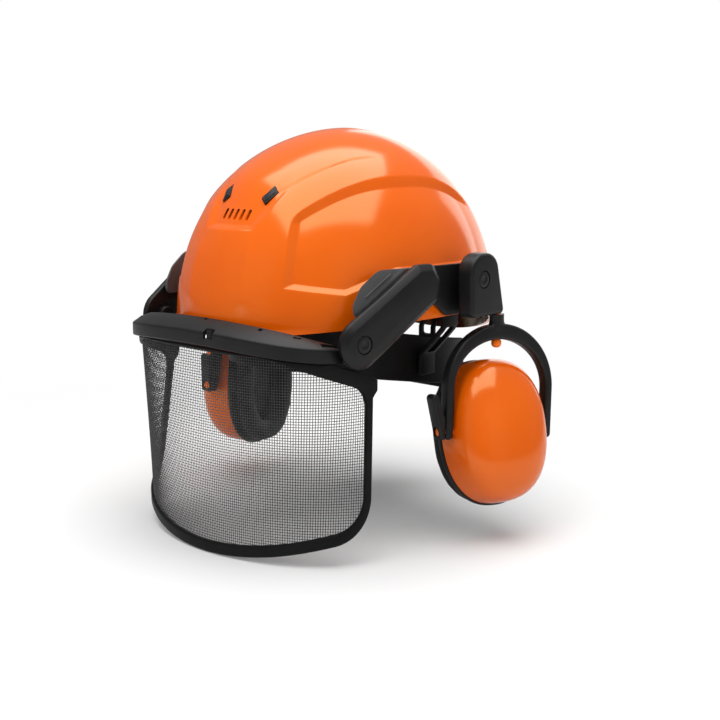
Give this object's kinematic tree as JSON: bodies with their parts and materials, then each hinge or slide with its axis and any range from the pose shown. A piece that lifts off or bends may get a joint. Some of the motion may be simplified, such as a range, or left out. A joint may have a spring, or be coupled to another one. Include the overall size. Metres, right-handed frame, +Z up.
{
  "type": "forestry safety helmet",
  "caption": "Orange safety helmet with a lift-up mesh face visor on side arms, swing-out ear muffs on yokes and an adjustable headband with rear knob.",
  "frame": {"origin": "centre of the head opening, in the base plane of the shell's dome", "axes": "+X to the wearer's left, -Y to the wearer's front, +Z up to the crown"},
  "size_m": [0.32, 0.2653, 0.2839],
  "materials": {
    "orange_shell": "glossy",
    "orange_pin": "satin",
    "black_plastic": "fine-textured satin",
    "dark_trim": "satin",
    "soft_black": "soft matt leatherette over foam",
    "foam": "open-cell foam",
    "grey_webbing": "woven webbing",
    "steel_pin": "turned",
    "grey_mesh": "woven mesh"
  },
  "bodies": {
    "helmet": {"shell": "orange_shell", "vent_insert_left": "dark_trim", "vent_insert_right": "dark_trim", "headband": "black_plastic", "sweatband": "soft_black", "crown_strap_across": "grey_webbing", "crown_strap_lengthways": "grey_webbing", "strap_hanger_left": "black_plastic", "strap_hanger_right": "black_plastic", "strap_hanger_front": "black_plastic", "strap_hanger_rear": "black_plastic", "nape_housing": "black_plastic", "side_bracket_left": "black_plastic", "side_bracket_right": "black_plastic", "block_pivot_button_left": "dark_trim", "block_pivot_button_right": "dark_trim"},
    "visor_arms": {"visor_arm_left": "black_plastic", "visor_arm_right": "black_plastic", "arm_hinge_pin_left": "steel_pin", "arm_hinge_pin_right": "steel_pin", "visor_pivot_button_left": "dark_trim", "visor_pivot_button_right": "dark_trim"},
    "visor": {"visor_carrier": "black_plastic", "visor_frame": "black_plastic", "visor_mesh": "grey_mesh"},
    "knob": {"ratchet_knob": "black_plastic", "ratchet_pinion": "dark_trim"},
    "rack_left": {"nape_rack_left": "black_plastic"},
    "block_left": {"ear_block_left": "black_plastic", "swivel_pin_left": "orange_pin"},
    "muff_yoke_left": {"yoke_left": "black_plastic", "finger_tab_left": "black_plastic"},
    "cup_left": {"ear_cup_left": "orange_shell", "cup_base_left": "black_plastic", "cup_foam_left": "foam", "ear_cushion_left": "soft_black", "cup_pivot_pin_front_left": "orange_pin", "cup_pivot_pin_rear_left": "orange_pin"},
    "rack_right": {"nape_rack_right": "black_plastic"},
    "block_right": {"ear_block_right": "black_plastic", "swivel_pin_right": "orange_pin"},
    "muff_yoke_right": {"yoke_right": "black_plastic", "finger_tab_right": "black_plastic"},
    "cup_right": {"ear_cup_right": "orange_shell", "cup_base_right": "black_plastic", "cup_foam_right": "foam", "ear_cushion_right": "soft_black", "cup_pivot_pin_front_right": "orange_pin", "cup_pivot_pin_rear_right": "orange_pin"}
  },
  "joints": [
    {"name": "visor_lift", "type": "hinge", "parent": "helmet", "child": "visor_arms", "pos_m": [0, -0.0422, 0.0373], "axis": [-1, 0, 0], "range_deg": [0, 75]},
    {"name": "visor_tilt", "type": "hinge", "parent": "visor_arms", "child": "visor", "pos_m": [0, -0.0932, 0.0047], "axis": [-1, 0, 0], "range_deg": [-10, 10]},
    {"name": "knob_turn", "type": "hinge", "parent": "helmet", "child": "knob", "pos_m": [0, 0.0984, -0.0475], "axis": [0, 1, 0], "range_deg": [-80, 80]},
    {"name": "rack_slide_left", "type": "hinge", "parent": "helmet", "child": "rack_left", "pos_m": [0, 0.02, -0.0475], "axis": [0, 0, 1], "range_deg": [-4.7, 4.7]},
    {"name": "rack_slide_right", "type": "hinge", "parent": "helmet", "child": "rack_right", "pos_m": [0, 0.02, -0.0475], "axis": [0, 0, 1], "range_deg": [-4.7, 4.7]},
    {"name": "muff_swing_left", "type": "hinge", "parent": "helmet", "child": "block_left", "pos_m": [0.12115, 0.0005, 0.04], "axis": [1, 0, 0], "range_deg": [-8, 30]},
    {"name": "muff_swivel_left", "type": "hinge", "parent": "block_left", "child": "muff_yoke_left", "pos_m": [0.12415, 0.021, 0.0143], "axis": [0, 0, -1], "range_deg": [-13, 7]},
    {"name": "cup_tilt_left", "type": "hinge", "parent": "muff_yoke_left", "child": "cup_left", "pos_m": [0.13081, 0.01404, -0.06715], "axis": [-0.3186, -0.9422, 0.1039], "range_deg": [-24, 1.5]},
    {"name": "muff_swing_right", "type": "hinge", "parent": "helmet", "child": "block_right", "pos_m": [-0.12115, 0.0005, 0.04], "axis": [1, 0, 0], "range_deg": [-8, 30]},
    {"name": "muff_swivel_right", "type": "hinge", "parent": "block_right", "child": "muff_yoke_right", "pos_m": [-0.12415, 0.021, 0.0143], "axis": [0, 0, 1], "range_deg": [-7, 13]},
    {"name": "cup_tilt_right", "type": "hinge", "parent": "muff_yoke_right", "child": "cup_right", "pos_m": [-0.1315, 0.01478, -0.06715], "axis": [-0.2183, 0.9703, -0.1039], "range_deg": [-3, 22]}
  ],
  "couplings": [
    {"joint": "rack_slide_left", "follows": "knob_turn", "ratio": -0.057},
    {"joint": "rack_slide_right", "follows": "knob_turn", "ratio": 0.057}
  ]
}
